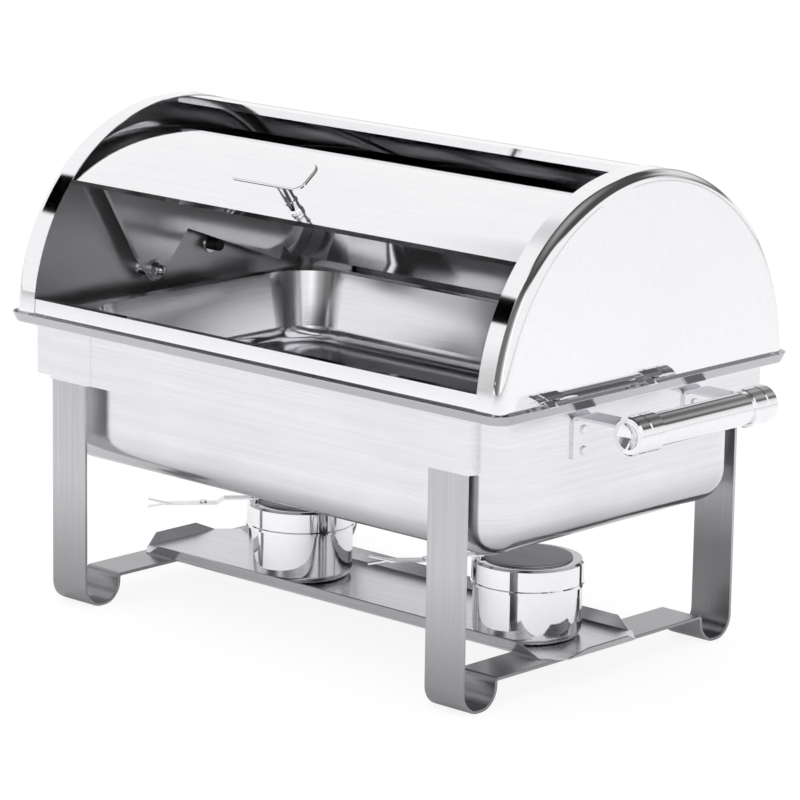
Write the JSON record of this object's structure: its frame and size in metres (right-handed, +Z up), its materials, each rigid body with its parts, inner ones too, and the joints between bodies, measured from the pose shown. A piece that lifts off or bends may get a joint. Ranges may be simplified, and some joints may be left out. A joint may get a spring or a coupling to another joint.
{
  "type": "chafing dish",
  "caption": "Roll-top chafing dish: polished domed cover with a rolling lid over a food pan and water pan, on a strap-leg stand with a burner shelf.",
  "frame": {"origin": "on the surface the feet stand on, under the middle of the dish", "axes": "+Z up, long side along X, the serving side faces -Y"},
  "size_m": [0.729, 0.387, 0.4465],
  "materials": {
    "satin_steel": "satin brushed",
    "drawn_steel": "satin, deep drawn",
    "pan_steel": "satin, deep drawn",
    "mirror_steel": "mirror polished",
    "fitting_steel": "bright turned",
    "dull_steel": "dull rolled",
    "can_steel": "satin tinplate",
    "rubber": "matt"
  },
  "bodies": {
    "stand": {"apron_front": "satin_steel", "apron_rear": "satin_steel", "apron_end_left": "satin_steel", "apron_end_right": "satin_steel", "leg_frame_left": "satin_steel", "leg_frame_right": "satin_steel", "fuel_shelf": "satin_steel", "handle_brackets": "satin_steel", "bracket_rivets": "satin_steel", "grip_tube_left": "mirror_steel", "grip_tube_right": "mirror_steel", "grip_ferrules": "mirror_steel", "grip_plugs": "mirror_steel"},
    "water_pan": {"water_pan": "drawn_steel"},
    "food_pan": {"food_pan": "pan_steel"},
    "dome": {"end_cap_left": "mirror_steel", "end_cap_right": "mirror_steel", "rear_shell": "mirror_steel", "front_rail": "mirror_steel", "pivot_studs": "fitting_steel", "pivot_spacers": "fitting_steel", "pivot_nuts": "fitting_steel", "stop_pins": "fitting_steel", "stop_buffers": "rubber", "rim_tabs": "fitting_steel"},
    "lid": {"lid_shell": "mirror_steel", "lid_cheek_left": "mirror_steel", "lid_cheek_right": "mirror_steel", "pivot_bushes": "fitting_steel", "lid_handle_post": "mirror_steel", "lid_handle_plate": "mirror_steel", "lid_handle_screw": "fitting_steel"},
    "burner_left": {"burner_cup_left": "mirror_steel", "fuel_can_left": "can_steel", "burner_cover_left": "mirror_steel", "damper_rivet_left": "dull_steel"},
    "damper_left": {"damper_disc_left": "dull_steel", "damper_lever_left": "dull_steel"},
    "burner_right": {"burner_cup_right": "mirror_steel", "fuel_can_right": "can_steel", "burner_cover_right": "mirror_steel", "damper_rivet_right": "dull_steel"},
    "damper_right": {"damper_disc_right": "dull_steel", "damper_lever_right": "dull_steel"}
  },
  "joints": [
    {"name": "water_pan_lift", "type": "slide", "parent": "stand", "child": "water_pan", "axis": [0, 0, 1], "range_m": [0, 0.09]},
    {"name": "food_pan_lift", "type": "slide", "parent": "water_pan", "child": "food_pan", "axis": [0, 0, 1], "range_m": [0, 0.075]},
    {"name": "dome_lift", "type": "slide", "parent": "food_pan", "child": "dome", "axis": [0, 0, 1], "range_m": [0, 0.12]},
    {"name": "lid_roll", "type": "hinge", "parent": "dome", "child": "lid", "pos_m": [0, -0.024, 0.284], "axis": [-1, 0, 0], "range_deg": [-44, 0]},
    {"name": "burner_left_lift", "type": "slide", "parent": "stand", "child": "burner_left", "axis": [0, 0, 1], "range_m": [0, 0.018]},
    {"name": "damper_left_swing", "type": "hinge", "parent": "burner_left", "child": "damper_left", "pos_m": [-0.12155, -0.0497, 0.0975], "axis": [0, 0, 1], "range_deg": [0, 75]},
    {"name": "burner_right_lift", "type": "slide", "parent": "stand", "child": "burner_right", "axis": [0, 0, 1], "range_m": [0, 0.018]},
    {"name": "damper_right_swing", "type": "hinge", "parent": "burner_right", "child": "damper_right", "pos_m": [0.15345, -0.0497, 0.0975], "axis": [0, 0, 1], "range_deg": [0, 75]}
  ]
}
